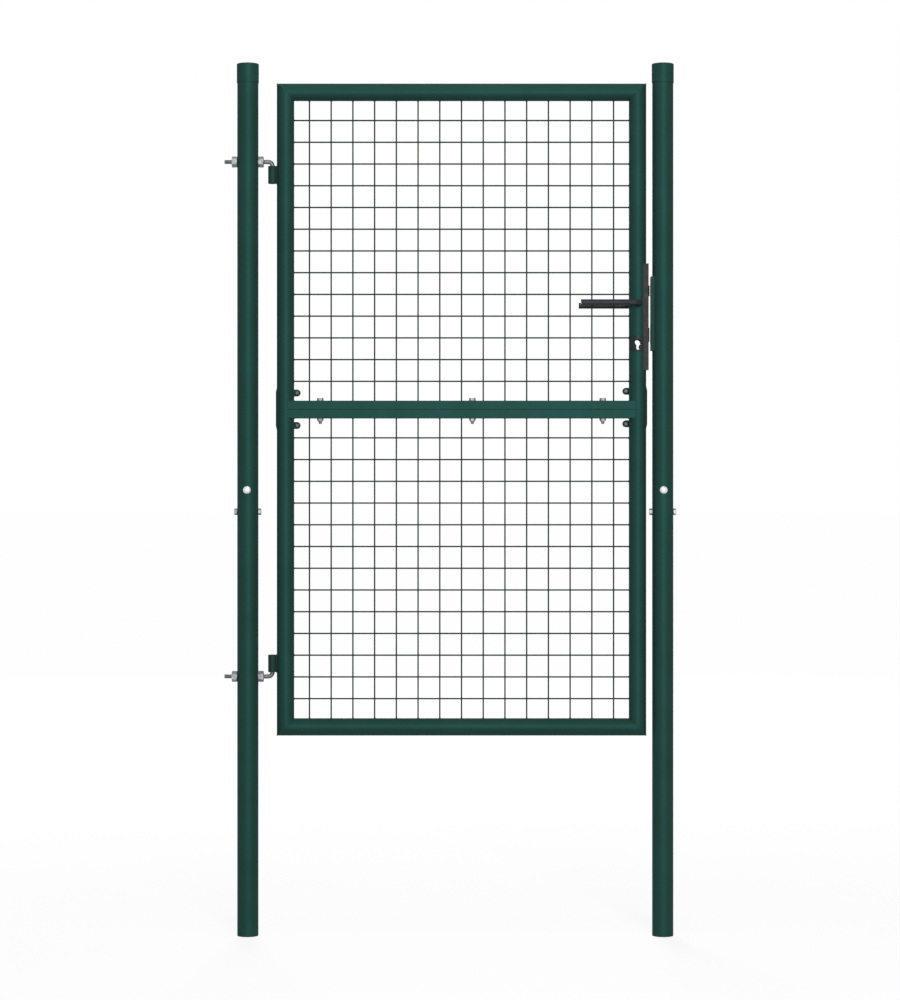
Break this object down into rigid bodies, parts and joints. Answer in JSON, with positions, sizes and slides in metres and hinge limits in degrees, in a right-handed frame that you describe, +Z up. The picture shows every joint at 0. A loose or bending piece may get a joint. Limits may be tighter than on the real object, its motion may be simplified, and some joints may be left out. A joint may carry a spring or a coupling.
{
  "type": "garden gate",
  "caption": "Single-leaf mesh gate hung on two hook bolts between round posts: round tube frame, flat middle rails, welded wire mesh, lever lock and strike plate.",
  "frame": {"origin": "centre of the hinge post's lower end, at the level the posts stand on", "axes": "+Z up along the posts, +X from the hinge post to the lock post, the front faces -Y"},
  "size_m": [1.0392, 0.124, 2.005],
  "materials": {
    "green_paint": "satin powder coat",
    "dark_paint": "satin",
    "zinc_plate": "zinc plated"
  },
  "bodies": {
    "posts": {"hinge_post_lower": "green_paint", "hinge_post_upper": "green_paint", "hinge_post_coupler": "green_paint", "hinge_post_cap": "green_paint", "lock_post_lower": "green_paint", "lock_post_upper": "green_paint", "lock_post_coupler": "green_paint", "lock_post_cap": "green_paint", "hinge_post_bolts": "zinc_plate", "lock_post_bolts": "zinc_plate", "post_bolt_nuts": "zinc_plate", "post_bolt_washers": "zinc_plate", "upper_hinge_hook": "zinc_plate", "lower_hinge_hook": "zinc_plate", "hook_nuts": "zinc_plate", "hook_washers": "zinc_plate", "strike_plate": "green_paint"},
    "leaf": {"top_rail": "green_paint", "bottom_rail": "green_paint", "upper_hinge_stile": "green_paint", "lower_hinge_stile": "green_paint", "upper_lock_stile": "green_paint", "lower_lock_stile": "green_paint", "upper_middle_rail": "green_paint", "lower_middle_rail": "green_paint", "upper_mesh": "green_paint", "lower_mesh": "green_paint", "upper_hinge_eye": "green_paint", "lower_hinge_eye": "green_paint", "hinge_splice_clip": "green_paint", "lock_splice_clip": "green_paint", "splice_lugs": "green_paint", "splice_bolts": "zinc_plate", "splice_nuts": "zinc_plate", "rail_bolts": "zinc_plate", "rail_nuts": "zinc_plate", "rail_washers": "zinc_plate", "lock_housing": "dark_paint", "front_keyhole_plate": "dark_paint", "back_keyhole_plate": "dark_paint"},
    "handle": {"front_lever": "dark_paint", "back_lever": "dark_paint", "spindle": "zinc_plate"},
    "latch": {"latch_bolt": "dark_paint"},
    "dead_bolt": {"dead_bolt": "dark_paint"}
  },
  "joints": [
    {"name": "leaf_swing", "type": "hinge", "parent": "posts", "child": "leaf", "pos_m": [0.0567, 0, 1.188], "axis": [0, 0, 1], "range_deg": [-90, 90]},
    {"name": "handle_turn", "type": "hinge", "parent": "leaf", "child": "handle", "pos_m": [0.8967, 0, 1.453], "axis": [0, -1, 0], "range_deg": [0, 40], "stiffness_Nm_per_rad": 1.2, "springref_deg": -20.05},
    {"name": "latch_slide", "type": "slide", "parent": "leaf", "child": "latch", "axis": [-1, 0, 0], "range_m": [0, 0.01]},
    {"name": "bolt_throw", "type": "slide", "parent": "leaf", "child": "dead_bolt", "axis": [1, 0, 0], "range_m": [0, 0.012]}
  ],
  "couplings": [
    {"joint": "latch_slide", "follows": "handle_turn", "m_per_rad": 0.0143}
  ]
}
